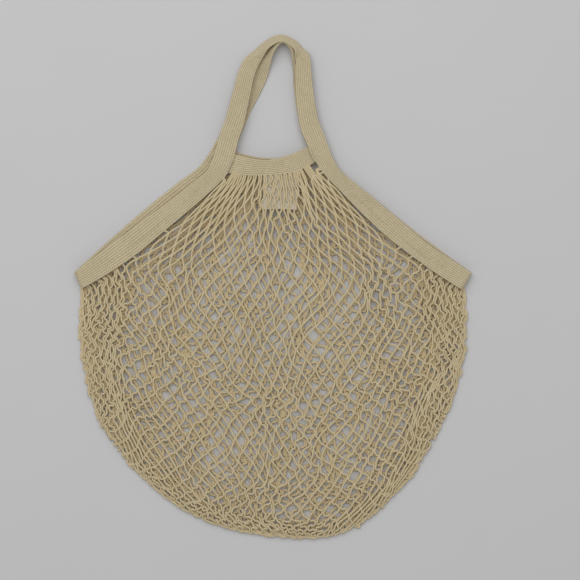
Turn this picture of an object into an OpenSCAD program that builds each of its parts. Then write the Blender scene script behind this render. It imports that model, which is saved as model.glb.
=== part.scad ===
// Net produce bag with two short handles, lying flat on a table with its mouth closed.
// Millimetres. +X runs from corner to corner, +Y towards the handles, +Z up from the table.
// The origin is on the table, under the middle of the bag's outline.

/* [Layers] */
// Open height between the back layer and the front layer
layer_gap = 6; // [5.6:0.2:7]
// Thickness of one layer of gathered netting
net_t = 1.6; // [1.2:0.2:1.8]
// Thickness of the doubled knit tape
tape_t = 2.4; // [2.2:0.2:2.6]

/* [Netting] */
// Width of the rolled netting along the bottom fold
fold_w = 4; // [3:0.5:6]

/* [Handles] */
// Width of the handle tape
handle_w = 18; // [14:1:20]
// How far the handle tape rolls onto its edge at the top of the loop, in degrees
top_roll = 55; // [40:5:60]
// Height up the bag at which both handles fold
handle_fold_y = 143; // [142:0.5:144]

/* [Mouth] */
// Height up the bag of the line across both corners, on which the mouth opens
mouth_line_y = 16; // [14:1:20]
// Running clearance on each side of a fold line
fold_clear = 0.3; // [0.2:0.1:0.6]

/* [Label] */
// Width of the blank cotton label
label_w = 36; // [25:1:40]
// Length of the label that hangs below the mouth band
label_drop = 34; // [20:1:38]
// Thickness of the label
label_t = 0.6; // [0.4:0.1:0.6]

/* [Stitches] */
// Length of one binding stitch
stitch_l = 4; // [2:0.5:5]
// Height of a stitch above the tape
stitch_t = 0.4; // [0.3:0.1:0.5]
// Length of the bar tack at each handle base
tack_l = 14; // [8:1:16]

/* [Hidden] */

STEPS = 6;                                // straight runs between two outline points
front_z = tape_t + layer_gap;             // underside of the front tape
top_z = front_z + tape_t;                 // top of the front tape
front_net_z = front_z + (tape_t - net_t) / 2;
corner_wall = 4;                          // tape thickness where it turns round a corner
corner_open = 12;                         // the layers are apart this far in from the corner
roll_from_y = 205;                        // the handle tape lies flat below this height
roll_full_y = 246;                        // and is rolled fully above this one
apex_edge_z = 0.6;                        // lower edge of the front tape at its loop's top
handle_start_y = handle_fold_y + fold_clear;
tack_w = 2.2;                             // width of a bar tack
stitch_pitch = 1.6 * stitch_l;
stitch_w = 0.9;
BIG = 600;                                // larger than the whole bag

// Edges of the front tape, from the corner up to the handle fold
fl_outer = [[-202, 13], [-148, 54], [-102, 88], [-67, 117], [-56, 146]];
fl_inner = [[-194, -4], [-148, 24], [-104, 60], [-53, 105], [-37, 132], [-36.5, 146]];
fr_outer = [[202, 12], [156, 43], [110, 82], [64, 122], [53, 146]];
fr_inner = [[192, -5], [158, 17], [110, 54], [64, 100], [42, 126], [34.5, 146]];
// Edges of the back tape, which shows a little beyond the front one
bl_outer = [[-202, 14], [-150, 57], [-104, 93], [-69, 120], [-56, 146]];
bl_inner = [[-194, -3], [-150, 28], [-104, 65], [-53, 109], [-38, 134], [-37, 146]];
br_outer = [[202, 13], [158, 45], [110, 83], [65, 122], [53, 146]];
br_inner = [[192, -4], [158, 20], [110, 56], [64, 101], [42, 126], [35, 146]];
// Edges of the bands across the mouth, with their ends tucked into the tapes
front_band_upper = [[-42, 134], [-11, 127.5], [12, 131], [40, 142.4]];
front_band_lower = [[-50, 114.5], [-22, 111], [20, 114.5], [47, 127]];
back_band_upper = [[-42, 137], [-14, 130.5], [12, 131], [40, 141]];
back_band_lower = [[-50, 118], [-22, 113.5], [20, 114.5], [47, 125]];
// Gathered edge of the netting, inside the tapes and bands
net_edge = [
    [-196, 4], [-148, 36], [-103, 70], [-60, 112], [-38, 120],
    [-17, 117], [18, 121], [35, 130], [54, 120], [110, 66], [156, 28], [195, 4],
];
// The bottom fold, from the left corner round to the right one
outline = [
    [-196, -6], [-194, -76], [-172, -148], [-124, -204], [-62, -243], [20, -257],
    [80, -248], [134, -202], [173, -140], [194, -74], [196, -7],
];
// Middle line of each handle tape, from its left base round to its right base
front_loop = [
    [-46.5, handle_start_y], [-44, 152], [-38.5, 167.5], [-31.5, 196.5], [-25.5, 219], [-14, 238],
    [5.5, 251], [22, 246], [29.5, 234], [30.5, 219.5], [32, 196.5], [36, 168],
    [41.5, 152], [44, handle_start_y],
];
back_loop = [
    [-46.5, handle_start_y], [-44, 152], [-38, 166], [-31, 181], [-17.5, 210], [-9.5, 230],
    [6, 246.5], [20, 240], [28, 223], [31, 200], [36, 168], [41.5, 152], [44, handle_start_y],
];

function unit(v) = v / norm(v);
function reverse(p) = [for (i = [len(p) - 1:-1:0]) p[i]];
function smooth(t) = let (c = max(0, min(1, t))) c * c * (3 - 2 * c);
function lerp(a, b, t) = a + (b - a) * t;

// A point on the curve through p1 and p2 that heads as p0 and p3 say (Catmull-Rom)
function curve_point(p0, p1, p2, p3, t) =
    0.5 * (2 * p1 + (p2 - p0) * t + (2 * p0 - 5 * p1 + 4 * p2 - p3) * t * t
    + (3 * p1 - p0 - 3 * p2 + p3) * t * t * t);

// A smooth line through all the points of p
function spline(p, steps = STEPS) = let (last = len(p) - 1) [
    for (i = [0:last - 1], k = [0:steps - 1])
        curve_point(p[max(i - 1, 0)], p[i], p[i + 1], p[min(i + 2, last)], k / steps),
    p[last],
];

// Direction of line p at point i, along the line
function heading(p, i) = unit(p[min(i + 1, len(p) - 1)] - p[max(i - 1, 0)]);

// Line p moved d to its left
function moved_left(p, d) = [
    for (i = [0:len(p) - 1]) let (h = heading(p, i)) p[i] + d * [-h.y, h.x],
];

// Ribbon between two edge lines, lying flat
module strip(edge_a, edge_b, z, t) {
    translate([0, 0, z]) linear_extrude(t)
        polygon(concat(spline(edge_a), reverse(spline(edge_b))));
}

// Everything above (side = 1) or below (side = -1) the height y up the bag
module half(y, side) {
    translate([-BIG / 2, side > 0 ? y : y - BIG, -BIG / 2]) cube(BIG);
}

// One whole layer of netting, from the gathered edge to the bottom fold
module net_layer(z) {
    rim = moved_left(spline(outline), fold_w);
    translate([0, 0, z]) linear_extrude(net_t)
        polygon(concat(spline(net_edge), reverse(rim)));
}

// A tape with a slot for the netting it binds, from y_low up to the handle fold
module bound_tape(outer, inner, z, net_z, y_low) {
    difference() {
        intersection() {
            strip(outer, inner, z, tape_t);
            half(y_low, 1);
            half(handle_fold_y - fold_clear, -1);
        }
        net_layer(net_z);
    }
}

// A band across the mouth, butted against the two tapes
module mouth_band(upper, lower, left, right, z, net_z) {
    difference() {
        strip(upper, lower, z, tape_t);
        strip(left[0], left[1], z - 1, tape_t + 2);
        strip(right[0], right[1], z - 1, tape_t + 2);
        net_layer(net_z);
    }
}

// The turn of the tape round one corner, which joins the front layer to the back one
module corner_fold(outer, inner, side) {
    difference() {
        intersection() {
            strip(outer, inner, 0, top_z);
            half(mouth_line_y - fold_clear, -1);
        }
        translate([-side * corner_wall, 0, 0])
            strip(outer, inner, tape_t, layer_gap);
        translate([side * (abs(outer[0].x) - corner_open - BIG / 2) - BIG / 2, -BIG / 2, tape_t])
            cube([BIG, BIG, layer_gap]);
        net_layer(0);
        net_layer(front_net_z);
    }
}

// One ring of a swept tape whose lower edge is at edge_z: its corners at point i of line p
function tape_ring(p, edge_z, roll, i) =
    let (
        last = len(p) - 1,
        z = edge_z + handle_w / 2 * sin(roll) + tape_t / 2 * cos(roll),
        h = i == 0 ? [0, 1] : i == last ? [0, -1] : heading(p, i),
        across = [h.y * cos(roll), -h.x * cos(roll), sin(roll)] * handle_w / 2,
        up = [-h.y * sin(roll), h.x * sin(roll), cos(roll)] * tape_t / 2,
        c = [p[i].x, p[i].y, z]
    )
    [c - across - up, c + across - up, c + across + up, c - across + up];

// A loop of handle tape that rolls onto its outer edge towards the top, from the height
// base_z at its ends to top_z_low at the top
module handle_loop(points, base_z, top_z_low) {
    line = spline(points, 3);
    last = len(line) - 1;
    rings = [
        for (i = [0:last])
            let (up = smooth((line[i].y - roll_from_y) / (roll_full_y - roll_from_y)))
            each tape_ring(line, lerp(base_z, top_z_low, up), top_roll * up, i),
    ];
    sides = [
        for (i = [0:last - 1], k = [0:3])
            let (a = 4 * i + k, b = 4 * i + (k + 1) % 4)
            each [[a, b, b + 4], [a, b + 4, a + 4]],
    ];
    start = [[3, 2, 1], [3, 1, 0]];
    end = 4 * last;
    polyhedron(rings, concat(start, sides, [[end, end + 1, end + 2], [end, end + 2, end + 3]]));
}

// A row of straight stitches along line p
module stitch_row(p, z) {
    line = spline(p, 1 + floor(norm(p[1] - p[0]) / stitch_pitch));
    for (i = [1:len(line) - 2]) {
        h = heading(line, i);
        translate([line[i].x, line[i].y, z])
            rotate([0, 0, atan2(h.y, h.x)])
                translate([-stitch_l / 2, -stitch_w / 2, 0])
                    cube([stitch_l, stitch_w, stitch_t]);
    }
}

// A bar tack with round ends, centred at [x, y]
module bar_tack(x, y, angle, z) {
    run = tack_l - tack_w;
    translate([x, y, z]) rotate([0, 0, angle]) linear_extrude(stitch_t * 1.5) {
        translate([-run / 2, -tack_w / 2]) square([run, tack_w]);
        for (end = [-1, 1]) translate([end * run / 2, 0]) circle(d = tack_w, $fn = 24);
    }
}

module netting_back() {
    color("tan") net_layer(0);
}

module netting_front_lower() {
    color("wheat") intersection() {
        net_layer(front_net_z);
        half(mouth_line_y - fold_clear, -1);
    }
}

module netting_front_upper() {
    color("wheat") intersection() {
        net_layer(front_net_z);
        half(mouth_line_y + fold_clear, 1);
    }
}

module netting_bottom_fold() {
    line = spline(outline);
    color("burlywood") linear_extrude(top_z)
        polygon(concat(line, reverse(moved_left(line, fold_w))));
}

module corner_fold_left() {
    color("cornsilk") corner_fold(fl_outer, fl_inner, -1);
}

module corner_fold_right() {
    color("cornsilk") corner_fold(fr_outer, fr_inner, 1);
}

module back_tape_left() {
    color("cornsilk")
        bound_tape(bl_outer, bl_inner, 0, 0, mouth_line_y - fold_clear);
}

module back_tape_right() {
    color("cornsilk")
        bound_tape(br_outer, br_inner, 0, 0, mouth_line_y - fold_clear);
}

module back_mouth_band() {
    color("oldlace") mouth_band(
        back_band_upper, back_band_lower, [bl_outer, bl_inner], [br_outer, br_inner], 0, 0);
}

module back_tack_left() {
    color("white") bar_tack(-44, 126, 60, tape_t);
}

module back_tack_right() {
    color("white") bar_tack(41, 132, 115, tape_t);
}

module back_binding_stitches() {
    color("white") {
        stitch_row([[-180, 22], [-150, 44], [-104, 80], [-63, 116]], tape_t);
        stitch_row([[178, 22], [158, 34], [110, 70], [62, 115]], tape_t);
    }
}

module front_tape_left() {
    color("cornsilk") bound_tape(
        fl_outer, fl_inner, front_z, front_net_z, mouth_line_y + fold_clear);
}

module front_tape_right() {
    color("cornsilk") bound_tape(
        fr_outer, fr_inner, front_z, front_net_z, mouth_line_y + fold_clear);
}

module front_mouth_band() {
    color("oldlace") mouth_band(
        front_band_upper, front_band_lower, [fl_outer, fl_inner], [fr_outer, fr_inner],
        front_z, front_net_z);
}

module front_tack_left() {
    color("white") bar_tack(-44, 122, 60, top_z);
}

module front_tack_right() {
    color("white") bar_tack(40, 132, 115, top_z);
}

module front_binding_stitches() {
    color("white") {
        stitch_row([[-172, 20], [-148, 36], [-104, 72], [-62, 110]], top_z);
        stitch_row([[174, 19], [156, 28], [110, 66], [62, 112]], top_z);
    }
}

module label() {
    color("white") translate([7 - label_w / 2, 111 - label_drop, front_z - label_t])
        cube([label_w, label_drop + 4, label_t]);
}

module label_stitches() {
    color("silver") for (side = [-1, 1])
        translate([7 + side * (label_w / 2 - 4) - stitch_l / 2, 112.5, front_z - label_t - stitch_t])
            cube([stitch_l, stitch_w, stitch_t]);
}

module front_handle() {
    color("blanchedalmond") handle_loop(front_loop, front_z, apex_edge_z);
}

module back_handle() {
    color("blanchedalmond") handle_loop(back_loop, 0, 0);
}

netting_back();
netting_front_lower();
netting_front_upper();
netting_bottom_fold();
corner_fold_left();
corner_fold_right();
back_tape_left();
back_tape_right();
back_mouth_band();
back_tack_left();
back_tack_right();
back_binding_stitches();
front_tape_left();
front_tape_right();
front_mouth_band();
front_tack_left();
front_tack_right();
front_binding_stitches();
label();
label_stitches();
front_handle();
back_handle();
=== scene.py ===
"""A net produce bag of undyed cotton with two short tape handles, lying flat on its back.

Metres, in the part's own frame: +X from corner to corner, +Y towards the handles, +Z up.
The yarn net is worked out strand by strand, and the tapes, bands and label are sheets.
"""

import bpy
import numpy as np
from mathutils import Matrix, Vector


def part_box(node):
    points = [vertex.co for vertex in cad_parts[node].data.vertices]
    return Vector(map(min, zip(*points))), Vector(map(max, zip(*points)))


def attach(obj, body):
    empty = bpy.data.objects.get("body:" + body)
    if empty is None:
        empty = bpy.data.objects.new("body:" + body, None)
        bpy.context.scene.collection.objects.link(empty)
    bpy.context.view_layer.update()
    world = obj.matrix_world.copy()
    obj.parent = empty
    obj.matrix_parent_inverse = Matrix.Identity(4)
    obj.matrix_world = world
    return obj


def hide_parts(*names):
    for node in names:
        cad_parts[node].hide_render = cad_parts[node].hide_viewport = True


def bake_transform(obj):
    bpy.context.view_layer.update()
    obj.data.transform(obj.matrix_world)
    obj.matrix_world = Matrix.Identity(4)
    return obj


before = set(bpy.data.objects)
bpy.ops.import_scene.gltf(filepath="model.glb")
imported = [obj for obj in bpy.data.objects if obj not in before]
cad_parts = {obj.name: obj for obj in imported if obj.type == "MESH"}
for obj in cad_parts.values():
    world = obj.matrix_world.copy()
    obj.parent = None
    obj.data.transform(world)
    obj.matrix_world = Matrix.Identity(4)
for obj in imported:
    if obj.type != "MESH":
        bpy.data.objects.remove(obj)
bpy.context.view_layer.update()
MM = 0.001


def mm(points):
    """A list of millimetres as an array of metres."""
    return np.array(points, float) * MM


# ---------------------------------------------------------------- the part's own lines
TAPE_T = 2.4 * MM
FRONT_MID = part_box("front_mouth_band")[1].z - TAPE_T / 2
BACK_MID = TAPE_T / 2
TOP_ROLL = np.radians(55)
APEX_EDGE_Z = 0.6 * MM

FRONT_LEFT_OUTER = mm([[-202, 13], [-148, 54], [-102, 88], [-67, 117], [-56, 146]])
FRONT_LEFT_INNER = mm([[-194, -4], [-148, 24], [-104, 60], [-53, 105], [-37, 132], [-36.5, 146]])
FRONT_RIGHT_OUTER = mm([[202, 12], [156, 43], [110, 82], [64, 122], [53, 146]])
FRONT_RIGHT_INNER = mm([[192, -5], [158, 17], [110, 54], [64, 100], [42, 126], [34.5, 146]])
BACK_LEFT_OUTER = mm([[-202, 14], [-151, 60], [-106, 97.5], [-72, 124.5], [-56, 146]])
BACK_LEFT_INNER = mm([[-194, -3], [-150, 28], [-104, 65], [-53, 109], [-38, 134], [-37, 146]])
BACK_RIGHT_OUTER = mm([[202, 13], [158, 45], [110, 83], [65, 122], [53, 146]])
BACK_RIGHT_INNER = mm([[192, -4], [158, 20], [110, 56], [64, 101], [42, 126], [35, 146]])
FRONT_BAND_UPPER = mm([[-42, 134], [-11, 127.5], [12, 131], [40, 142.4]])
FRONT_BAND_LOWER = mm([[-50, 114.5], [-22, 111], [20, 114.5], [47, 127]])
BACK_BAND_UPPER = mm([[-42, 137], [-14, 130.5], [12, 131], [40, 141]])
BACK_BAND_LOWER = mm([[-50, 118], [-22, 113.5], [20, 114.5], [47, 125]])
OUTLINE = mm([
    [-196, -6], [-194, -76], [-172, -148], [-124, -204], [-62, -243], [20, -257],
    [80, -248], [134, -202], [173, -140], [194, -74], [196, -7],
])
FRONT_LOOP = mm([
    [-44, 152], [-38.5, 167.5], [-31.5, 196.5], [-25.5, 219], [-14, 238], [5.5, 251],
    [22, 245], [30, 231], [30.5, 219.5], [32, 196.5], [36, 168], [41.5, 152],
])
BACK_LOOP = mm([
    [-44, 152], [-38, 166], [-31, 181], [-16, 210], [-7, 232], [6, 249.5],
    [19, 245], [27, 228], [30, 202], [36, 168], [41.5, 152],
])

# ---------------------------------------------------------------- lines and noise


def spline(points, steps=16):
    """Smooth line through all the points: on each span, the Catmull-Rom cubic of the span's
    two ends and their neighbours."""
    p = np.asarray(points, float)
    before, a, b, after = (
        x[:, None] for x in (np.vstack([p[:1], p[:-2]]), p[:-1], p[1:], np.vstack([p[2:], p[-1:]]))
    )
    t = np.linspace(0, 1, steps, endpoint=False)[None, :, None]
    runs = 0.5 * (
        2 * a + (b - before) * t + (2 * before - 5 * a + 4 * b - after) * t**2
        + (3 * a - before - 3 * b + after) * t**3
    )
    return np.vstack([runs.reshape(-1, p.shape[1]), p[-1:]])


def run_of(line):
    """Distance along a line from its start to each of its points."""
    return np.r_[0, np.cumsum(np.linalg.norm(np.diff(line, axis=0), axis=1))]


def at(line, share):
    """Points at these shares of a line's whole length."""
    run = run_of(line)
    where = np.asarray(share) * run[-1]
    return np.stack([np.interp(where, run, line[:, i]) for i in range(line.shape[1])], -1)


def smooth(t):
    """0 below 0, 1 above 1, and the cubic 3t^2 - 2t^3 between."""
    t = np.clip(t, 0, 1)
    return t * t * (3 - 2 * t)


def unit(v):
    return v / (np.linalg.norm(v, axis=-1, keepdims=True) + 1e-12)


def wander(rng, shape, cells):
    """Smooth noise over a grid: normal draws on a coarse grid of cells, eased across each cell."""

    def weights(count, parts):
        x = np.linspace(0, parts, count)
        i = np.minimum(x.astype(int), parts - 1)
        f = smooth(x - i)
        w = np.zeros((count, parts + 1))
        w[np.arange(count), i] = 1 - f
        w[np.arange(count), i + 1] = f
        return w

    draws = rng.normal(size=(cells[0] + 1, cells[1] + 1))
    return weights(shape[0], cells[0]) @ draws @ weights(shape[1], cells[1]).T


# ---------------------------------------------------------------- the knotless net
LEG = 2.7 * MM  # length over which two strands are held side by side
FREE = 10.6 * MM  # free yarn between two joins
YARN = 2.0 * MM
BACK_YARN = YARN * 1.3
INNER = 3  # points inside a free stretch
NET_WIDTH = 492 * MM  # one face of the open net, across its strands
NET_TOP, NET_END = 142 * MM, -292 * MM  # where the open net's rows start and stop
FRONT_PITCH, BACK_PITCH = 6.6 * MM, 5.7 * MM  # between strands
FRONT_ROW, BACK_ROW = 12.0 * MM, 9.8 * MM  # between rows of joins, at the mouth
TUCK = 3.0 * MM  # length of each strand that is sewn in under the tapes and bands
FAN_TOP, FAN_LOW = 108 * MM, 4 * MM  # between these heights the net narrows into the band
FAN_HALF = 133 * MM  # half the width of net that is gathered into the band
EASE = 16 * MM  # run over which the rim's packing fades into the open net
FOLD_Z = 2.3 * MM  # resting heights: the fold, the front in the middle and near the rim, the back
FRONT_Z, FRONT_RIM_Z, BACK_Z = 6.2 * MM, 5.7 * MM, 1.9 * MM
SWAY = 0.9 * MM  # how far a strand may leave its resting height
SETTLE = 110  # rounds of settling
RING = 1.75 * MM  # length of yarn between two rings of its tube
SIDES = 8


def nearest(line, points):
    """The nearest place on a line to each point, the line's heading there, and the distance,
    positive to the left of the line."""
    d = np.diff(line, axis=0)
    rel = points[..., None, :] - line[:-1]
    t = np.clip((rel * d).sum(-1) / (d * d).sum(-1), 0, 1)
    off = points[..., None, :] - (line[:-1] + d * t[..., None])
    gap = (off**2).sum(-1)
    i = gap.argmin(-1)[..., None]
    off = np.take_along_axis(off, i[..., None], -2)[..., 0, :]
    heading = unit(d)[i[..., 0]]
    side = np.sign(heading[..., 0] * off[..., 1] - heading[..., 1] * off[..., 0])
    return points - off, heading, side * np.linalg.norm(off, axis=-1)


def pack_rim(points, outline):
    """Moves points of the open net into the outline. Near the rim distances shrink to the share
    `tight`, which holds for the first `core` of net and fades to 1 over EASE beyond it."""
    _, heading, inside = nearest(outline, points)
    low = smooth((-points[..., 1] - 110 * MM) / (110 * MM))
    high = smooth((points[..., 1] + 75 * MM) / (70 * MM))
    tight = 0.50 - 0.06 * low
    core = (60 - 28 * low + 26 * high) * MM
    surplus = (1 - tight) * (core + EASE / 2)
    depth = np.maximum(inside + surplus, 0)
    t = (depth - core) / EASE
    eased = np.where(t < 1, np.clip(t, 0, 1) ** 3 - np.clip(t, 0, 1) ** 4 / 2, t - 0.5)
    packed = tight * depth + (1 - tight) * EASE * eased
    inward = np.stack([-heading[..., 1], heading[..., 0]], -1)
    return points + inward * (packed - inside)[..., None], inside > -surplus, packed


def lay_net(x, y):
    """Where a place of the open net comes to lie before the rim is packed: towards the mouth it
    narrows into the band, and its sides ride up."""
    t = np.clip((y - FAN_LOW) / (FAN_TOP - FAN_LOW), 0, 1.15) ** 1.15
    x = x - np.sign(x) * np.minimum(np.abs(x), FAN_HALF) * 0.63 * t + 3 * MM * t
    return np.stack([x, y + 0.15 * (FAN_TOP - y) * np.minimum(np.abs(x) / (150 * MM), 1.15) ** 2], -1)


def hermite(a, da, b, db, t):
    """Cubic from a to b that leaves along da and arrives along db."""
    a, da, b, db = (x[..., None, :] for x in (a, da, b, db))
    t = t[:, None]
    return (
        (2 * t**3 - 3 * t**2 + 1) * a + (t**3 - 2 * t**2 + t) * da
        + (3 * t**2 - 2 * t**3) * b + (t**3 - t**2) * db
    )


def net_chains(rng, mouth, pitch, row_pitch, height, phase, loose):
    """Strands of one face of the net as chains of points, from the mouth to the rim, each with
    its number of joins, and the mean row pitch of the open net. Strand k lies beside k + 1 on
    the rows where k + row + phase is even, and beside k - 1 on the others. Between two joins it
    is a free stretch that bows as its spare length allows."""
    mouth = spline(mouth, 10)
    ends = np.array([[0, 90 * MM]])
    outline = np.vstack([OUTLINE[:1] + ends, spline(OUTLINE, 20), OUTLINE[-1:] + ends])
    strands = int(round(NET_WIDTH / pitch / 2)) * 2
    drop = row_pitch * (1 - 0.24 * smooth(np.arange(60) / 40))
    down = NET_TOP - np.cumsum(drop)
    down = down[down > NET_END]
    rows_in = len(down)
    x = (np.arange(strands + 1) - strands / 2)[:, None] * pitch + 0 * down
    y = down[None] + 0 * x
    still = lay_net(x, y)
    calm = 0.12 + 0.88 * smooth((-nearest(mouth, still)[2] + 4 * MM) / (40 * MM))
    shape = x.shape
    x = x + calm * loose * MM * (
        4.2 * wander(rng, shape, (9, 7)) + 3.0 * wander(rng, shape, (26, 15)) + 0.7 * rng.normal(size=shape))
    y = y + calm * loose * MM * (
        3.0 * wander(rng, shape, (9, 8)) + 2.3 * wander(rng, shape, (26, 16)) + 0.8 * rng.normal(size=shape))
    middle, within, depth = pack_rim(lay_net(x, y), outline)
    _, _, below = nearest(mouth, middle)
    within &= below < -2.2 * MM
    heading = unit(np.gradient(middle, axis=1))
    turn = (0.30 * rng.normal(size=shape) + 0.34 * wander(rng, shape, (18, 14))) * loose * (0.7 + 0.3 * calm)
    across = np.stack([-heading[..., 1], heading[..., 0]], -1)
    heading = heading * np.cos(turn)[..., None] + across * np.sin(turn)[..., None]

    k, r = np.arange(strands)[:, None], np.arange(rows_in)[None, :]
    side = np.where((k + r + phase) % 2 == 0, 1, -1)
    j = k + (side > 0)
    head, live = heading[j, r], within[j, r]
    across = np.stack([-head[..., 1], head[..., 0]], -1)
    centre = middle[j, r] - across * (side * YARN / 2)[..., None]
    used = np.where(live.sum(1) > 1)[0]
    first, last = live.argmax(1), rows_in - 1 - live[:, ::-1].argmax(1)
    live = (r >= first[:, None]) & (r <= last[:, None])
    each = np.arange(strands)
    top, top_heading, _ = nearest(mouth, centre[each, first])
    inward = np.stack([top_heading[:, 1], -top_heading[:, 0]], -1)
    start = top - inward * TUCK
    start_head = unit(inward + head[each, first])
    beyond = np.minimum(last + 1, rows_in - 1)
    end, rim_heading, _ = nearest(outline, middle[j[each, beyond], beyond])
    end_head = rim_heading * -side[each, last][:, None]
    before, after = (r < first[:, None])[..., None], (r > last[:, None])[..., None]

    def fill(inner, begin, finish):
        return np.where(before, begin[:, None], np.where(after, finish[:, None], inner))

    leg_a = fill(centre - head * LEG / 2, start, end)
    leg_b = fill(centre + head * LEG / 2, start, end)
    head = fill(head, start_head, end_head)
    free_a = np.concatenate([start[:, None], leg_b], 1)
    free_b = np.concatenate([leg_a, end[:, None]], 1)
    head_a = np.concatenate([start_head[:, None], head], 1)
    head_b = np.concatenate([head, end_head[:, None]], 1)
    chord = np.linalg.norm(free_b - free_a, axis=-1)
    stretch = np.arange(rows_in + 1)[None]
    rest = np.full(chord.shape, FREE) * rng.uniform(0.92, 1.0, chord.shape)
    packed = smooth((46 * MM - depth[j, r]) / (14 * MM))
    packed = np.concatenate([packed, packed[:, -1:]], 1)
    rest = np.minimum(rest, chord * (1.34 - 0.22 * packed) + 0.6 * MM)
    rest = np.where(stretch == first[:, None], chord * 1.04, rest)
    rest = np.where(stretch == last[:, None] + 1, np.maximum(chord * 1.06, 0.55 * FREE), rest)
    rest = np.where((stretch < first[:, None]) | (stretch > last[:, None] + 1), 0, rest)
    slack = np.clip(rest / (chord + 1e-9) - 1, 0, 1.2)
    reach = (chord * (1 + 2.4 * slack))[..., None]
    inner = hermite(free_a, head_a * reach, free_b, head_b * reach, np.linspace(0, 1, INNER + 2)[1:-1])
    flat = np.concatenate([free_a[:, :, None], inner, free_b[:, :, None]], 2)
    step = INNER + 2
    count = step * (rows_in + 1)
    flat = flat.reshape(strands, count, 2)
    _, _, below = nearest(mouth, flat)
    _, _, inside = nearest(outline, flat)
    level = height(-below, inside)
    points = np.concatenate([flat, level[..., None]], -1)
    place = np.arange(count)[None]
    begin, finish = step * first[:, None], step * (last[:, None] + 2) - 1
    pinned = (place <= begin) | (place >= finish)
    link = np.repeat(rest / (INNER + 1), step, 1)
    link[:, step - 1 : -1 : step] = np.where(live, LEG, 0)
    link = link[:, : count - 1]
    legs_at = step * np.arange(1, rows_in + 1)
    points = relax(points, link, level, pinned, phase, legs_at)
    chains = [(points[i, begin[i, 0] : finish[i, 0] + 1], last[i] - first[i] + 1) for i in used]
    return chains, float(-np.diff(down).mean())


def relax(points, link, level, pinned, phase, legs_at):
    """Strands settle: links keep their length, joined legs stay one yarn apart, yarns that
    overlap push apart, sharp bends ease, and the layer stays near its resting height."""
    free = (~pinned).astype(float)[..., None]
    hold = points[pinned].copy()
    rows = np.arange(len(legs_at))
    joined = []
    for start in (0, 1):
        legs = legs_at[rows[(start + rows + phase) % 2 == 0]]
        joined.append((start, np.sort(np.r_[legs - 1, legs])))
    for turn in range(SETTLE):
        for parity in (0, 1):
            a, b = points[:, parity:-1:2], points[:, parity + 1 :: 2]
            wa, wb = free[:, parity:-1:2], free[:, parity + 1 :: 2]
            d = b - a
            length = np.linalg.norm(d, axis=-1, keepdims=True) + 1e-9
            off = d * (1 - link[:, parity::2][:, : d.shape[1], None] / length) / (wa + wb + 1e-9)
            points[:, parity:-1:2] += off * wa * 0.8
            points[:, parity + 1 :: 2] -= off * wb * 0.8
        for start, at_points in joined:
            one = slice(start, len(points) - 1, 2)
            two = slice(start + 1, len(points), 2)
            a, b = points[one][:, at_points], points[two][:, at_points]
            w = free[one][:, at_points] * free[two][:, at_points]
            d = b - a
            length = np.linalg.norm(d, axis=-1, keepdims=True) + 1e-9
            off = d * (1 - YARN * 0.97 / length) * 0.5 * w
            points[one, at_points] = a + off
            points[two, at_points] = b - off
        if turn % 2 == 0:
            push_apart(points, free)
        bend = (points[:, :-2] + points[:, 2:]) / 2 - points[:, 1:-1]
        points[:, 1:-1] += 0.04 * bend * free[:, 1:-1]
        z = points[..., 2]
        z += 0.10 * (level - z) * free[..., 0]
        np.clip(z, level - SWAY, level + SWAY, out=z)
        points[pinned] = hold
    return points


def push_apart(points, free):
    """Points of neighbouring strands closer than one yarn move half the overlap each."""
    count = points.shape[1]
    for gap in (1, 2, 3):
        for shift in range(-6, 7, 1 if gap == 1 else 2):
            lo, hi = max(0, -shift), min(count, count - shift)
            a = points[:-gap, lo:hi]
            b = points[gap:, lo + shift : hi + shift]
            d = b - a
            length = np.linalg.norm(d, axis=-1, keepdims=True) + 1e-9
            close = length < YARN * 0.93
            if not close.any():
                continue
            off = np.where(close, d / length * (length - YARN * 0.93) * 0.25, 0)
            a += off * free[:-gap, lo:hi]
            b -= off * free[gap:, lo + shift : hi + shift]


def tubes(name, chains, radius, rng, sides=SIDES, ring=RING, rough=0.05):
    """Round closed tubes along smoothed chains: ring i is the circle about point i across the
    chain's heading, with a slightly uneven radius. UV: u around, v metres along."""
    all_verts, all_quads, all_uv, all_caps, base = [], [], [], [], 0
    around = np.arange(sides)
    turn = around * 2 * np.pi / sides
    for chain in chains:
        fine = spline(chain, 4)
        line = at(fine, np.linspace(0, 1, max(3, int(round(run_of(fine)[-1] / ring)))))
        many = len(line)
        heading = unit(np.gradient(line, axis=0))
        side = unit(np.cross([0, 0, 1.0], heading))
        up = np.cross(heading, side)
        uneven = 1 + rough * rng.normal(size=(many + 1, 1, 1))
        uneven = (uneven[1:] + uneven[:-1]) / 2
        all_verts.append((line[:, None] + radius * uneven * (
            side[:, None] * np.cos(turn)[:, None] + up[:, None] * np.sin(turn)[:, None])).reshape(-1, 3))
        i = base + np.arange(many - 1)[:, None] * sides
        after = (around + 1) % sides
        all_quads.append(
            np.stack([i + around, i + after, i + sides + after, i + sides + around], -1).reshape(-1, 4))
        run = run_of(line)
        v0, v1 = run[:-1, None] + 0 * turn, run[1:, None] + 0 * turn
        u0, u1 = around / sides + 0 * v0, (around + 1) / sides + 0 * v0
        all_uv.append(np.stack([u0, v0, u1, v0, u1, v1, u0, v1], -1).reshape(-1, 2))
        all_caps += [base + around[::-1], base + (many - 1) * sides + around]
        base += many * sides
    return make_mesh(name, np.vstack(all_verts), np.vstack(all_quads), np.vstack(all_uv), np.stack(all_caps))


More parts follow.
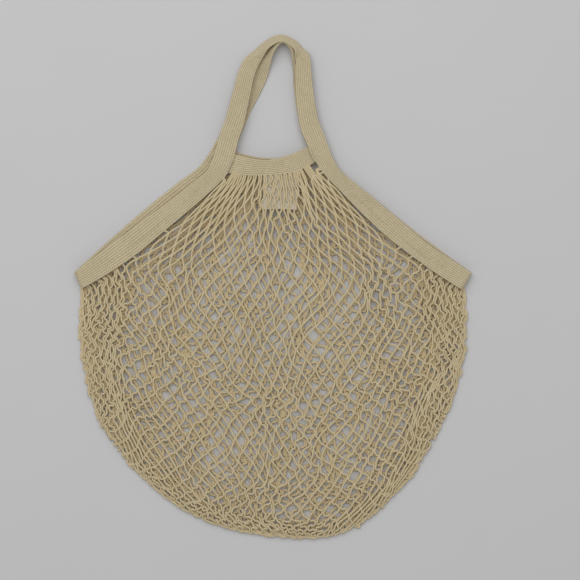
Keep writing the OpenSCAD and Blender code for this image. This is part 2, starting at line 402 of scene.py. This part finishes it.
def make_mesh(name, verts, quads, uv, caps):
    """A mesh object from vertices, quads with their UVs, and end faces of one size."""
    mesh = bpy.data.meshes.new(name)
    sizes = np.r_[np.full(len(quads), 4), np.full(len(caps), caps.shape[1] if len(caps) else 0)]
    loops = np.r_[quads.ravel(), np.asarray(caps).ravel()].astype(np.int32)
    mesh.vertices.add(len(verts))
    mesh.vertices.foreach_set("co", np.ascontiguousarray(verts, np.float32).ravel())
    mesh.loops.add(len(loops))
    mesh.loops.foreach_set("vertex_index", loops)
    mesh.polygons.add(len(sizes))
    starts = np.r_[0, np.cumsum(sizes)[:-1]].astype(np.int32)
    mesh.polygons.foreach_set("loop_start", starts)
    mesh.polygons.foreach_set("use_smooth", np.arange(len(sizes)) < len(quads))
    layer = mesh.uv_layers.new(name="UVMap")
    whole = np.zeros((len(loops), 2), np.float32)
    whole[: len(uv)] = uv
    layer.data.foreach_set("uv", whole.ravel())
    mesh.update(calc_edges=True)
    ends = np.zeros(len(mesh.edges) * 2, np.int32)
    mesh.edges.foreach_get("vertices", ends)
    ends = np.sort(ends.reshape(-1, 2), 1) @ [len(verts), 1]
    rim = np.sort(np.stack([caps, np.roll(caps, -1, 1)], -1).reshape(-1, 2), 1) @ [len(verts), 1]
    mesh.attributes.new("sharp_edge", "BOOLEAN", "EDGE").data.foreach_set("value", np.isin(ends, rim))
    piece = bpy.data.objects.new(name, mesh)
    bpy.context.scene.collection.objects.link(piece)
    return piece


def shell(name, mid, half, across=None, along=None):
    """A closed sheet about a middle surface: each face is the middle moved half a thickness
    along its normal, and the thickness falls to nothing at both long edges."""
    n, m = mid.shape[:2]
    normal = unit(np.cross(np.gradient(mid, axis=0), np.gradient(mid, axis=1)))
    top, under = mid + normal * half[..., None], mid - normal * half[..., None]
    verts = np.concatenate([top.reshape(-1, 3), under[:, 1:-1].reshape(-1, 3)])
    t = np.arange(n * m).reshape(n, m)
    b = np.concatenate(
        [t[:, :1], n * m + np.arange(n * (m - 2)).reshape(n, m - 2), t[:, -1:]], 1
    )

    def quad(g):
        return np.stack([g[:-1, :-1], g[1:, :-1], g[1:, 1:], g[:-1, 1:]], -1).reshape(-1, 4)

    def quad_uv(g):
        return np.stack([g[:-1, :-1], g[1:, :-1], g[1:, 1:], g[:-1, 1:]], 2).reshape(-1, 2)

    across = np.broadcast_to(across, (n, m))
    along = np.broadcast_to(along, (n, m))
    place = np.stack([across, along], -1)
    quads = np.concatenate([quad(t), quad(b)[:, ::-1]])
    low = quad_uv(place).reshape(-1, 4, 2)[:, ::-1].reshape(-1, 2)
    uv = np.concatenate([quad_uv(place), low])
    caps = np.stack([np.r_[t[0], b[0, -2:0:-1]], np.r_[t[-1], b[-1, -2:0:-1]][::-1]])
    return make_mesh(name, verts, quads, uv, caps)


# ---------------------------------------------------------------- tapes
TAPE_ACROSS = 45
TAPE_STEP = 1.3 * MM
TAPE_RIBS = 9
RIB_PITCH, STITCH_PITCH = 2.2 * MM, 2.3 * MM


def across_tape():
    """Shares of the width at which a tape is drawn, a little closer together at its edges."""
    w = np.linspace(0, 1, TAPE_ACROSS)
    return w - 0.045 * np.sin(2 * np.pi * w)


def loop_edges(loop):
    """Outer and inner edge of a handle loop: its middle line moved half the tape's width to
    each side, which narrows a little above the base."""
    h = unit(np.gradient(loop, axis=0))
    out = np.stack([-h[:, 1], h[:, 0]], -1)
    rise = loop[:, 1:] / MM
    half = (10.1 - 1.1 * smooth((rise - 152) / 44) - 1.6 * smooth((rise - 205) / 30)) * MM
    return loop + out * half, loop - out * half


def tape_edges(left_outer, left_inner, loop, right_outer, right_inner):
    """Both edges of a long tape, from the left corner over the handle to the right corner, as
    points in pairs about TAPE_STEP apart."""
    share = np.linspace(0, 1, 8)
    outer_loop, inner_loop = loop_edges(loop)
    outer, inner = (
        np.vstack([at(spline(left), share)[:-1], top, at(spline(right), share)[-2::-1]])
        for left, top, right in (
            (left_outer, outer_loop, right_outer), (left_inner, inner_loop, right_inner)))
    pair = spline(np.hstack([outer, inner]), 12)
    run = run_of((pair[:, :2] + pair[:, 2:]) / 2)
    count = int(round(run[-1] / TAPE_STEP))
    where = np.linspace(0, run[-1], count)
    pair = np.stack([np.interp(where, run, pair[:, i]) for i in range(4)], -1)
    return pair[:, :2], pair[:, 2:]


def tape_surface(outer, inner, z, low_z, roll_left, roll_right, rng):
    """Middle surface of a long tape. It lies flat at height z, and near the loop's top it
    rolls: the slope grows from 0 to TOP_ROLL over a range of heights up the bag that differs
    between the two legs and across the width, and the section is the sum of those slopes."""
    n = len(outer)
    w = across_tape()
    centre = (outer + inner) / 2
    side = unit(inner - outer)
    width = np.linalg.norm(inner - outer, axis=1)
    top = np.argmax(centre[:, 1])
    on_left = smooth((np.arange(n) - top) / 12 + 0.5)[:, None]

    def climb(rolls):
        begin, end = rolls
        begin_y = begin[0] + (begin[1] - begin[0]) * w
        end_y = end[0] + (end[1] - end[0]) * w
        return smooth((centre[:, 1:] / MM - begin_y) / (end_y - begin_y))

    up = climb(roll_left) * (1 - on_left) + climb(roll_right) * on_left
    slope = TOP_ROLL * up
    dw = np.gradient(w)
    flat = np.cumsum(np.cos(slope) * dw, 1)
    rise = np.cumsum(np.sin(slope) * dw, 1)
    middle = TAPE_ACROSS // 2
    flat = (flat - flat[:, middle : middle + 1]) * width[:, None]
    rise = (rise - rise[:, middle : middle + 1]) * width[:, None]
    lift = smooth((centre[:, 1] / MM - 205) / 41)
    apex_z = low_z + width.min() / 2 * np.sin(TOP_ROLL) + TAPE_T / 2 * np.cos(TOP_ROLL)
    height = z + (apex_z - z) * lift
    wave = 0.22 * wander(rng, (n, TAPE_ACROSS), (max(4, n // 14), 3)) * MM
    grid = np.empty((n, TAPE_ACROSS, 3))
    grid[..., :2] = centre[:, None] + side[:, None] * flat[..., None]
    grid[..., 2] = height[:, None] + rise + wave * (1 - 0.7 * up)
    return grid, w


def tape_half(n, w):
    """Half thickness over a tape: round edges and TAPE_RIBS lengthwise ribs."""
    edge = (1 - np.abs(2 * w - 1) ** 7) ** (1 / 2.2)
    ribs = np.abs(np.sin(np.pi * TAPE_RIBS * w)) ** 0.7
    return np.broadcast_to(edge * (0.82 + 0.18 * ribs) * (TAPE_T / 2 - 0.05 * MM), (n, len(w)))


# ---------------------------------------------------------------- finishes


class Value:
    """A shader socket that carries a number. Arithmetic on it adds Math nodes."""

    def __init__(self, finish, socket):
        self.finish, self.socket = finish, socket

    def _math(self, operation, *values):
        node = self.finish.node("ShaderNodeMath", {"operation": operation}, dict(enumerate(values)))
        return Value(self.finish, node.outputs[0])

    def __add__(self, other):
        return self._math("ADD", self, other)

    __radd__ = __add__

    def __mul__(self, other):
        return self._math("MULTIPLY", self, other)

    __rmul__ = __mul__

    def __sub__(self, other):
        return self._math("SUBTRACT", self, other)

    def __truediv__(self, other):
        return self._math("DIVIDE", self, other)

    def __pow__(self, other):
        return self._math("POWER", self, other)

    def __abs__(self):
        return self._math("ABSOLUTE", self)

    def sine(self):
        return self._math("SINE", self)

    def floor(self):
        return self._math("FLOOR", self)

    def fraction(self):
        return self._math("FRACT", self)


class Finish:
    """A material and the one way to add nodes to it."""

    def __init__(self, name):
        self.material = bpy.data.materials.new(name)
        self.material.use_nodes = True
        self.tree = self.material.node_tree
        self.tree.nodes.clear()

    def node(self, kind, settings=None, values=None):
        """A node of this type: its settings first, then the values or links of its sockets."""
        node = self.tree.nodes.new(kind)
        for key, value in (settings or {}).items():
            if key == "stops":
                for stop, (place, colour) in zip(node.color_ramp.elements, value):
                    stop.position, stop.color = place, (*colour, 1)
            else:
                setattr(node, key, value)
        for key, value in (values or {}).items():
            if isinstance(value, Value):
                value = value.socket
            if isinstance(value, bpy.types.NodeSocket):
                self.tree.links.new(value, node.inputs[key])
            else:
                node.inputs[key].default_value = value
        return node

    def number(self, kind, output, settings=None, values=None):
        return Value(self, self.node(kind, settings, values).outputs[output])

    def noise(self, where, scale, detail=2.0, rough=0.5):
        return self.number(
            "ShaderNodeTexNoise", "Fac", {"noise_dimensions": "3D"},
            {"Vector": where, "Scale": scale, "Detail": detail, "Roughness": rough},
        )

    def blend(self, share, first, second):
        """The colour between first and second at share."""
        node = self.node("ShaderNodeMix", {"data_type": "RGBA"}, {0: share, 6: first, 7: second})
        return node.outputs[2]

    def uv(self):
        """The piece's own UV map as two numbers."""
        uv = self.node("ShaderNodeUVMap", {"uv_map": "UVMap"}).outputs[0]
        parts = self.node("ShaderNodeSeparateXYZ", None, {0: uv})
        return Value(self, parts.outputs[0]), Value(self, parts.outputs[1])

    def place(self):
        """Where the surface is on the object."""
        return self.node("ShaderNodeTexCoord").outputs["Object"]

    def cloth(self, colour, rough, height, depth, sheen=0.15):
        """Ends the material as cloth: colour, roughness and a bump from height."""
        bump = self.node("ShaderNodeBump", None, {"Strength": 1.0, "Distance": depth, "Height": height})
        shader = self.node("ShaderNodeBsdfPrincipled", None, {
            "Base Color": colour, "Roughness": rough, "Normal": bump.outputs[0],
            "Sheen Weight": sheen, "Sheen Roughness": 0.6, "Specular IOR Level": 0.25,
        })
        self.node("ShaderNodeOutputMaterial", None, {"Surface": shader.outputs[0]})
        return self.material


TURN = 2 * np.pi


def rgb(red, green, blue):
    return (red, green, blue, 1)


def yarn_finish(name, light, dark):
    """Three-ply twisted cotton yarn: slanted plies, fine fibres and uneven bleaching, and painted shade in
    the grooves between the plies.
    """
    f = Finish(name)
    around, along = f.uv()
    where = f.place()
    ply = abs((around * (TURN * 1.5) + along * (TURN / 2 / (2.6 * MM))).sine())
    fibre = f.noise(where, 2600, 3, 0.7)
    patchy = f.noise(where, 34, 3, 0.6)
    tint = f.noise(where, 260, 2, 0.5)
    # The ply term paints shade into the grooves between the plies; fibre, patchy and tint are the yarn's own
    # uneven tone.
    tone_and_groove_shade = ply * 0.30 + fibre * 0.25 + patchy * 0.35 + tint * 0.35 - 0.12
    colour = f.blend(tone_and_groove_shade, rgb(*dark), rgb(*light))
    height = ply ** 0.6 * 0.8 + fibre * 0.5
    return f.cloth(colour, 0.86 + 0.1 * fibre, height, 0.30 * MM)


def tape_finish(name, light, dark, rib_pitch, stitch_pitch):
    """Knit tape: lengthwise ribs with a small stitch every stitch_pitch, each rib's stitches
    half a pitch on from its neighbour's, and painted shade in the grooves between the ribs and
    between the stitches."""
    f = Finish(name)
    across, along = f.uv()
    where = f.place()
    rib_at = across / rib_pitch
    rib = abs((rib_at * np.pi).sine())
    shift = rib_at.floor() * 0.5
    slant = abs(rib_at.fraction() - 0.5) * 0.9
    stitch = abs(((along / stitch_pitch + shift + slant) * np.pi).sine())
    fibre = f.noise(where, 2300, 3, 0.7)
    patchy = f.noise(where, 45, 3, 0.6)
    tint = f.noise(where, 330, 2, 0.5)
    knit = rib ** 0.6 * (0.32 + 0.68 * stitch ** 0.8)
    # knit is low in the grooves between ribs and between stitches, so through the colour it paints shade
    # there; as the height it gives the bump.
    tone_and_groove_shade = knit * 0.55 + fibre * 0.18 + patchy * 0.25 + tint * 0.30 - 0.14
    colour = f.blend(tone_and_groove_shade, rgb(*dark), rgb(*light))
    height = knit + fibre * 0.25
    return f.cloth(colour, 0.88 + 0.08 * fibre, height, 0.55 * MM)


def label_finish(name, light, dark):
    """Plain woven cotton: fine threads over and under at right angles, with painted shade where the threads
    pass under.
    """
    f = Finish(name)
    across, along = f.uv()
    warp = (across * (TURN / (0.7 * MM))).sine()
    weft = (along * (TURN / (0.7 * MM))).sine()
    weave = (warp * weft) * 0.5 + 0.5
    where = f.place()
    fibre = f.noise(where, 1800, 3, 0.6)
    patchy = f.noise(where, 90, 2, 0.5)
    # The weave term paints shade where the threads dip under; fibre and patchy are the cloth's own uneven
    # tone.
    colour = f.blend(weave * 0.35 + fibre * 0.35 + patchy * 0.4, rgb(*dark), rgb(*light))
    return f.cloth(colour, 0.8 + 0.1 * fibre, weave + fibre * 0.4, 0.15 * MM)


def floor_finish(name, colour):
    """Matt pale paper with the faintest mottling."""
    f = Finish(name)
    mottle = f.noise(f.place(), 9, 3, 0.5)
    tone = f.blend(mottle, rgb(*(c * 0.985 for c in colour)), rgb(*(min(1, c * 1.01) for c in colour)))
    shader = f.node("ShaderNodeBsdfPrincipled", None, {
        "Base Color": tone, "Roughness": 0.95, "Specular IOR Level": 0.1})
    f.node("ShaderNodeOutputMaterial", None, {"Surface": shader.outputs[0]})
    return f.material


def paint(piece, material):
    piece.data.materials.clear()
    piece.data.materials.append(material)


NET_FRONT = yarn_finish("undyed_net_yarn", (0.82, 0.71, 0.47), (0.54, 0.42, 0.22))
# The back layer's yarn is the same yarn as the front's, with its darker tone raised a little: painted light
# that lifts the shade the back layer lies in beneath the front one.
NET_BACK_PAINTED_FILL = yarn_finish("undyed_net_yarn_back_painted_fill", (0.84, 0.71, 0.46), (0.57, 0.44, 0.23))
# The tape's dark tone is the painted shade that fills its grooves.
TAPE = tape_finish("ribbed_knit_tape", (0.86, 0.75, 0.51), (0.38, 0.30, 0.16), RIB_PITCH, STITCH_PITCH)
THREAD = yarn_finish("sewing_thread", (0.80, 0.71, 0.50), (0.55, 0.45, 0.27))
LABEL = label_finish("plain_cotton_label", (0.72, 0.66, 0.53), (0.56, 0.49, 0.36))

# ---------------------------------------------------------------- the net's two faces


def mouth_line(inners, lower):
    """The line along which a face of the net is sewn, from the left corner up the inner edge of
    the tape, along the band's lower edge and down to the right corner."""
    band = spline(lower)
    left, right = spline(inners[0]), spline(inners[1])
    left, right = left[left[:, 1] < band[0, 1] - 7 * MM], right[right[:, 1] < band[-1, 1] - 7 * MM]
    return np.vstack([left[::8], at(band, np.linspace(0.02, 0.98, 9)), right[::-1][::8], right[:1]])


def front_height(below, inside):
    """Resting height of the front layer: level with the bands near them, sinking towards the
    middle of the bag and towards the rim."""
    high = FRONT_MID - 0.35 * MM
    level = high + (FRONT_Z - high) * smooth((below - 12 * MM) / (62 * MM))
    level = level + (FRONT_RIM_Z - level) * smooth((60 * MM - inside) / (50 * MM))
    return FOLD_Z + (level - FOLD_Z) * smooth((inside + 3 * MM) / (11 * MM))


def back_height(below, inside):
    """Resting height of the back layer: as low as its strands can cross."""
    return BACK_Z + 0 * below


front_chains, front_rows = net_chains(
    np.random.default_rng(11), mouth_line((FRONT_LEFT_INNER, FRONT_RIGHT_INNER), FRONT_BAND_LOWER),
    FRONT_PITCH, FRONT_ROW, front_height, phase=0, loose=1.1)
back_chains, back_rows = net_chains(
    np.random.default_rng(12), mouth_line((BACK_LEFT_INNER, BACK_RIGHT_INNER), BACK_BAND_LOWER),
    BACK_PITCH, BACK_ROW, back_height, phase=1, loose=1.3)

net_rng = np.random.default_rng(5)
nets = {}


def net_cut(half, pitch, rows, thick):
    """The flat cut of part of the net, laid open before it is gathered: strands by their pitch
    and rows by theirs. Its area leaves out the holes: it is half the surface of the yarn, which
    is one leg and one free stretch long for each join of each strand."""
    joins = [count for _, count in half]
    flat = (round(len(half) * pitch, 4), round(float(max(joins)) * rows, 4))
    return flat, float(sum(joins)) * (LEG + FREE) * np.pi * thick / 2


for name, chains, left, pitch, rows, thick in (
    ("net_front_left", front_chains, True, FRONT_PITCH, front_rows, YARN),
    ("net_front_right", front_chains, False, FRONT_PITCH, front_rows, YARN),
    ("net_back_left", back_chains, True, BACK_PITCH, back_rows, BACK_YARN),
    ("net_back_right", back_chains, False, BACK_PITCH, back_rows, BACK_YARN),
):
    middle = len(chains) // 2
    half = chains[:middle] if left else chains[middle:]
    nets[name] = tubes(name, [chain for chain, _ in half], thick / 2, net_rng)
    paint(nets[name], NET_FRONT if chains is front_chains else NET_BACK_PAINTED_FILL)
    flat, area = net_cut(half, pitch, rows, thick)

for name in ("net_front_left", "net_front_right"):
    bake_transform(nets[name])
    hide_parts("netting_front_lower", "netting_front_upper", "netting_bottom_fold")
for name in ("net_back_left", "net_back_right"):
    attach(nets[name], "root")
    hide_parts("netting_back")

# ---------------------------------------------------------------- the long tapes
tape_rng = np.random.default_rng(21)
LEFT_ROLL = ((221, 240), (231, 249))
RIGHT_ROLL = ((230, 234), (239, 242))
BACK_LEFT_ROLL = ((208, 222), (238, 246))
BACK_RIGHT_ROLL = ((222, 228), (240, 243))

front_outer, front_inner = tape_edges(
    FRONT_LEFT_OUTER, FRONT_LEFT_INNER, FRONT_LOOP, FRONT_RIGHT_OUTER, FRONT_RIGHT_INNER)
back_outer, back_inner = tape_edges(
    BACK_LEFT_OUTER, BACK_LEFT_INNER, BACK_LOOP, BACK_RIGHT_OUTER, BACK_RIGHT_INNER)
front_grid, TAPE_W = tape_surface(
    front_outer, front_inner, FRONT_MID, APEX_EDGE_Z, LEFT_ROLL, RIGHT_ROLL, tape_rng)
back_grid, _ = tape_surface(
    back_outer, back_inner, BACK_MID, 0.1 * MM, BACK_LEFT_ROLL, BACK_RIGHT_ROLL, tape_rng)


def corner_turn(front_end, back_end, inward):
    """The tape's turn round a corner, from the back layer up to the front one: half an ellipse
    in the upright plane along the tape, between the two end sections."""
    t = np.linspace(-np.pi / 2, np.pi / 2, 15)[1:-1, None, None]
    middle = (front_end + back_end) / 2
    half = (front_end - back_end) / 2
    out = np.array([-inward[0], -inward[1], 0.0])
    return middle + half * np.sin(t) + out * TURN_REACH * np.cos(t)


TURN_REACH = 3.0 * MM
SEAM_Y = 52 * MM


def pull_in(grid, ends):
    """Moves the end stations in along the tape, so that the turn's outside is at the corner."""
    moved = grid.copy()
    for end in ends:
        near = np.arange(8) if end == 0 else len(grid) - 1 - np.arange(8)
        step = unit((grid[near[1], :, :2] - grid[near[0], :, :2]).mean(0))
        ease = (1 - np.arange(8) / 8)[:, None, None]
        moved[near, :, :2] += step * TURN_REACH * ease
    return moved


front_grid, back_grid = pull_in(front_grid, (0, -1)), pull_in(back_grid, (0, -1))


def seam(grid):
    """Stations where the tape's middle first and last passes SEAM_Y."""
    above = np.where(grid[:, TAPE_ACROSS // 2, 1] > SEAM_Y)[0]
    return above[0], above[-1]


first, last = seam(front_grid)
inward_left = unit(front_grid[6, :, :2].mean(0) - front_grid[0, :, :2].mean(0))
inward_right = unit(front_grid[-7, :, :2].mean(0) - front_grid[-1, :, :2].mean(0))
turn_left = corner_turn(front_grid[0], back_grid[0], inward_left)
turn_right = corner_turn(front_grid[-1], back_grid[-1], inward_right)
STUB = 2


def tape_piece(name, grid, start_run=0.0):
    """A stretch of tape as a closed sheet, with its UV in metres."""
    middle = grid[:, TAPE_ACROSS // 2]
    run = start_run + run_of(middle)
    width = np.linalg.norm(grid[:, -1] - grid[:, 0], axis=1).mean()
    piece = shell(
        name, grid, tape_half(len(grid), TAPE_W),
        across=TAPE_W[None] * (TAPE_RIBS * RIB_PITCH), along=run[:, None])
    paint(piece, TAPE)
    return piece


front_run = run_of(front_grid[:, TAPE_ACROSS // 2])
left_grid = np.concatenate([back_grid[:STUB][::-1], turn_left, front_grid[: first + 1]])
corner_left = tape_piece(
    "tape_corner_left", left_grid, front_run[first] - run_of(left_grid[:, TAPE_ACROSS // 2])[-1])
corner_right = tape_piece(
    "tape_corner_right", np.concatenate([front_grid[last:], turn_right[::-1], back_grid[-STUB:][::-1]]),
    front_run[last])
front_handle = tape_piece("tape_front_handle", front_grid[first : last + 1], front_run[first])
back_handle = tape_piece("tape_back_handle", back_grid[STUB - 1 : len(back_grid) - STUB + 1][::-1])

for piece, nodes in (
    (corner_left, ("corner_fold_left", "front_tape_left")),
    (corner_right, ("corner_fold_right", "front_tape_right")),
):
    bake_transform(piece)
    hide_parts(*nodes)


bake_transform(front_handle)
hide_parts("front_handle", "front_tape_left", "front_tape_right")
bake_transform(back_handle)
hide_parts("back_handle", "back_tape_left", "back_tape_right")

# ---------------------------------------------------------------- the mouth bands


def band_piece(name, upper, lower, z, dip, rng):
    """A band across the mouth: ruled between its two edge lines, its ends carried on under
    the tapes, which they pass dip lower."""
    n = 80
    share = np.linspace(0, 1, n)
    up, down = at(spline(upper), share), at(spline(lower), share)
    w = across_tape()
    grid = np.empty((n, TAPE_ACROSS, 3))
    grid[..., :2] = up[:, None] + (down - up)[:, None] * w[:, None]
    end = 1 - smooth(np.minimum(share, 1 - share) / 0.16)
    wave = 0.15 * wander(rng, (n, TAPE_ACROSS), (8, 3)) * MM
    grid[..., 2] = z - dip * end[:, None] + wave
    run = run_of(grid[:, TAPE_ACROSS // 2])
    width = np.linalg.norm(grid[:, -1] - grid[:, 0], axis=1)
    piece = shell(name, grid, tape_half(n, w) * 0.92,
                  across=w[None] * (TAPE_RIBS * RIB_PITCH), along=run[:, None])
    paint(piece, TAPE)
    return piece


band_rng = np.random.default_rng(31)
front_band = band_piece("mouth_band_front", FRONT_BAND_UPPER, FRONT_BAND_LOWER,
                        FRONT_MID - 0.1 * MM, 2.1 * MM, band_rng)
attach(front_band, "front_mouth")
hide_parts("front_mouth_band")
back_band = band_piece("mouth_band_back", BACK_BAND_UPPER, BACK_BAND_LOWER,
                       BACK_MID + 0.1 * MM, -2.1 * MM, band_rng)
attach(back_band, "root")
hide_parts("back_mouth_band")

# ---------------------------------------------------------------- the label
LABEL_LOW, LABEL_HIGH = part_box("label")


def label_piece(rng):
    """The blank label: a thin rectangle, slightly waved, hanging from the front band."""
    n, m = 40, 36
    y = np.linspace(LABEL_HIGH.y, LABEL_LOW.y, n)[:, None]
    x = np.linspace(LABEL_HIGH.x, LABEL_LOW.x, m)[None]
    grid = np.empty((n, m, 3))
    grid[..., 0] = x + 0.4 * MM * np.sin((y - LABEL_LOW.y) / (11 * MM))
    grid[..., 1] = y + 0.5 * MM * np.sin((x - LABEL_LOW.x) / (9 * MM))
    grid[..., 2] = LABEL_LOW.z + 0.1 * MM + 0.25 * MM * wander(rng, (n, m), (3, 3))
    w = np.linspace(0, 1, m)
    half = np.broadcast_to((1 - np.abs(2 * w - 1) ** 30) ** 0.5 * 0.25 * MM, (n, m))
    piece = shell("blank_label", grid, half, across=x - LABEL_LOW.x, along=y - LABEL_LOW.y)
    paint(piece, LABEL)
    return piece


label = label_piece(np.random.default_rng(41))
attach(label, "front_mouth")
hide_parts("label")

# ---------------------------------------------------------------- threads
THREAD_R = 0.28 * MM


def stitch_paths(line, z, length, pitch, dip=0.35 * MM):
    """Straight stitches along a line: each a low arch that dives into the cloth at both ends."""
    run = run_of(spline(line))
    count = int(run[-1] / pitch)
    t = np.linspace(-0.5, 0.5, 7)
    centre = (np.arange(count) + 0.5) / count
    share = centre[:, None] + t * length / run[-1]
    flat = at(spline(line), np.clip(share, 0, 1))
    height = z - dip + (dip + THREAD_R * 1.2) * (1 - (2 * t) ** 4)
    return np.concatenate([flat, np.broadcast_to(height, flat.shape[:2])[..., None]], -1)


def tack_path(x, y, angle, z, length=14 * MM, width=2.2 * MM, turns=20):
    """A bar tack: one thread laid to and fro across the bar, closely side by side."""
    t = np.linspace(0, 1, turns * 2 + 1)
    along = (t - 0.5) * length
    over = np.where(np.arange(len(t)) % 2 == 0, -0.5, 0.5) * width
    c, s = np.cos(np.radians(angle)), np.sin(np.radians(angle))
    return np.stack([
        x + along * c - over * s, y + along * s + over * c,
        z + 0.15 * MM + 0.12 * MM * np.cos(np.pi * np.arange(len(t)))], -1)


thread_rng = np.random.default_rng(51)
FRONT_TOP = FRONT_MID + TAPE_T / 2
ROW_LEFT = mm([[-172, 20], [-148, 36], [-104, 72], [-62, 110]])
ROW_RIGHT = mm([[174, 19], [156, 28], [110, 66], [62, 112]])
BACK_ROW_LEFT = mm([[-180, 22], [-150, 44], [-104, 80], [-63, 116]])
BACK_ROW_RIGHT = mm([[178, 22], [158, 34], [110, 70], [62, 115]])


def binding(name, rows, z):
    """Rows of short stitches that hold the net to a long tape, whose outside is at height z."""
    paths = [stitch_paths(row, z - 0.25 * MM, 3 * MM, 4.6 * MM) for row in rows]
    piece = tubes(name, np.concatenate(paths), THREAD_R, thread_rng, sides=6, ring=0.4 * MM)
    paint(piece, THREAD)
    return piece


front_stitches = binding("binding_stitches_front", (ROW_LEFT, ROW_RIGHT), FRONT_TOP)
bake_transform(front_stitches)
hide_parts("front_binding_stitches")
back_stitches = binding("binding_stitches_back", (BACK_ROW_LEFT, BACK_ROW_RIGHT), TAPE_T)
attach(back_stitches, "root")
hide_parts("back_binding_stitches")

for name, node, spot, z, body in (
    ("bar_tack_front_left", "front_tack_left", (-44, 122, 60), FRONT_TOP, "front_mouth"),
    ("bar_tack_front_right", "front_tack_right", (40, 132, 115), FRONT_TOP, "front_mouth"),
    ("bar_tack_back_left", "back_tack_left", (-44, 126, 60), TAPE_T, "root"),
    ("bar_tack_back_right", "back_tack_right", (41, 132, 115), TAPE_T, "root"),
):
    path = tack_path(spot[0] * MM, spot[1] * MM, spot[2], z - 0.1 * MM)
    tack = tubes(name, path[None], THREAD_R, thread_rng, sides=6, ring=0.3 * MM)
    paint(tack, THREAD)
    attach(tack, body)
    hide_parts(node)

label_rows = np.concatenate([
    stitch_paths(mm([[x - 4, 113], [x + 4, 113]]), LABEL_HIGH.z, 2.4 * MM, 3.2 * MM)
    for x in (-7, 21)])
label_stitches = tubes("label_stitches_thread", label_rows, THREAD_R, thread_rng, sides=6, ring=0.4 * MM)
paint(label_stitches, THREAD)
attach(label_stitches, "front_mouth")
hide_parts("label_stitches")

# ---------------------------------------------------------------- floor, light and camera
scene = bpy.context.scene
scene.view_settings.view_transform = "Standard"
bpy.ops.mesh.primitive_plane_add(size=8, location=(0, 0, 0))
floor = bpy.context.object
floor.name = "pale_floor"
floor.data.materials.append(floor_finish("pale_floor", (0.675, 0.675, 0.685)))


def area_light(name, place, aim, size, power, colour=(1, 1, 1)):
    data = bpy.data.lights.new(name, "AREA")
    data.shape = "SQUARE"
    data.size, data.energy, data.color = size, power, colour
    lamp = bpy.data.objects.new(name, data)
    bpy.context.scene.collection.objects.link(lamp)
    lamp.location = place
    lamp.rotation_euler = (Vector(aim) - Vector(place)).to_track_quat("-Z", "Y").to_euler()
    return lamp


area_light("key_softbox", (-0.28, 0.95, 1.8), (0, 0.0, 0), 2.2, 20)
world = bpy.data.worlds.new("studio")
world.use_nodes = True
world.node_tree.nodes["Background"].inputs[0].default_value = (1, 1, 1, 1)
world.node_tree.nodes["Background"].inputs[1].default_value = 0.45
scene.world = world

LENS, SENSOR = 135, 36
VIEW_WIDTH = 591.6 * MM
AIM = Vector((17.3 * MM, -5.1 * MM, 5 * MM))
camera_data = bpy.data.cameras.new("camera")
camera_data.lens, camera_data.sensor_width = LENS, SENSOR
camera = bpy.data.objects.new("camera", camera_data)
scene.collection.objects.link(camera)
camera.location = AIM + Vector((0, 0, VIEW_WIDTH * LENS / SENSOR))
camera.rotation_euler = (0, 0, 0)
scene.camera = camera

bpy.context.view_layer.update()
